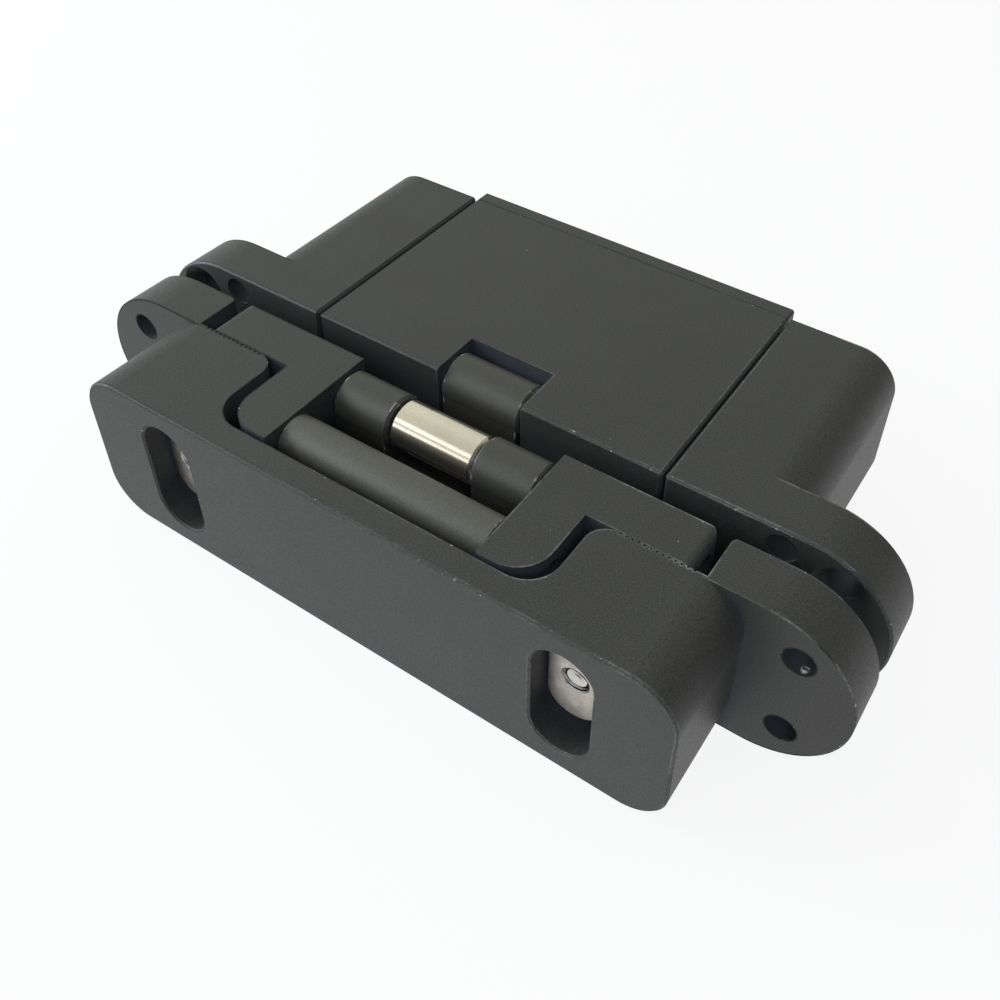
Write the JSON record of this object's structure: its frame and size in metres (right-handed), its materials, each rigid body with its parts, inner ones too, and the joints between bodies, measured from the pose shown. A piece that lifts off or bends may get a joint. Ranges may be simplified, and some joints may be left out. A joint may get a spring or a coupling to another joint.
{
  "type": "concealed gate hinge",
  "caption": "Concealed gate hinge: a jamb housing and a deeper gate block with D-shaped ears, joined by a forked link on a pin in each half, with a serrated, clamped adjuster.",
  "frame": {"origin": "centre of the jamb plate's face, midway between its mounting screws", "axes": "+X along the hinge and its pins, +Y from the jamb to the gate, +Z across the thickness, towards the side that the gate swings to"},
  "size_m": [0.134, 0.0758, 0.028],
  "materials": {
    "coated_black": "fine matte black coating with thinly worn edges",
    "barrel_black": "satin black coating on turned surfaces",
    "bright_steel": "polished turned steel",
    "nut_steel": "satin nickel-plated steel",
    "pin_steel": "bright zinc-plated steel",
    "dark_screws": "black oxide steel",
    "bearing_bronze": "plain sintered bronze",
    "washer_polymer": "dark bearing polymer"
  },
  "bodies": {
    "jamb_half": {"jamb_housing": "coated_black"},
    "carriage": {"carriage": "coated_black", "clamp_screw_left": "pin_steel", "clamp_screw_right": "pin_steel", "nut_plate_left": "nut_steel", "nut_plate_right": "nut_steel", "tie_tube": "barrel_black", "tie_pin": "pin_steel", "jamb_pivot_pin": "pin_steel", "spacer_sleeve": "bright_steel", "jamb_washers": "washer_polymer"},
    "link": {"pivot_link": "barrel_black", "link_bushes": "bearing_bronze", "gate_bush": "bearing_bronze"},
    "gate_half": {"gate_block": "coated_black", "end_cap": "coated_black", "cap_screws": "dark_screws", "gate_pivot_pin": "pin_steel", "gate_washers": "washer_polymer", "gate_bracket_left": "coated_black", "gate_bracket_right": "coated_black", "bracket_dowels_left": "pin_steel", "bracket_dowels_right": "pin_steel", "adjuster_screws": "dark_screws"}
  },
  "joints": [
    {"name": "carriage_slide", "type": "slide", "parent": "jamb_half", "child": "carriage", "axis": [0, 0, 1], "range_m": [-0.001, 0.001]},
    {"name": "jamb_pivot", "type": "hinge", "parent": "carriage", "child": "link", "pos_m": [0, -0.0041, 0.0097], "axis": [1, 0, 0], "range_deg": [0, 90]},
    {"name": "gate_pivot", "type": "hinge", "parent": "link", "child": "gate_half", "pos_m": [0, 0.0085, 0.0097], "axis": [1, 0, 0], "range_deg": [0, 90]}
  ]
}
